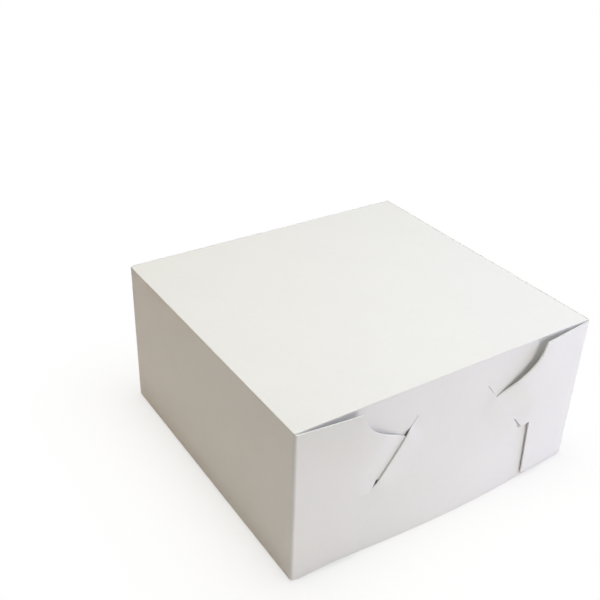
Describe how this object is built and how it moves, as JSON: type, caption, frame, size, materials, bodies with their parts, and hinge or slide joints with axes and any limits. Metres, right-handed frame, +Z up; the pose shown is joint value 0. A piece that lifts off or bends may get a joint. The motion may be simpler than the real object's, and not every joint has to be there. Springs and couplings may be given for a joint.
{
  "type": "cake box",
  "caption": "White folding cake box: a square tray whose corners lock with hooked wings in slanting slits, and a lid hinged at the back with a tuck flap.",
  "frame": {"origin": "on the table, under the middle of the box's outline", "axes": "+Z up, the front with the locked wings faces -Y, +X to the right as seen from the front"},
  "size_m": [0.254, 0.2456, 0.124],
  "materials": {
    "white_board": "matt white lined board"
  },
  "bodies": {
    "tray": {"tray": "white_board"},
    "lid": {"lid": "white_board"}
  },
  "joints": [
    {"name": "lid_hinge", "type": "hinge", "parent": "tray", "child": "lid", "pos_m": [0, 0.1228, 0.123], "axis": [-1, 0, 0], "range_deg": [0, 180]}
  ]
}
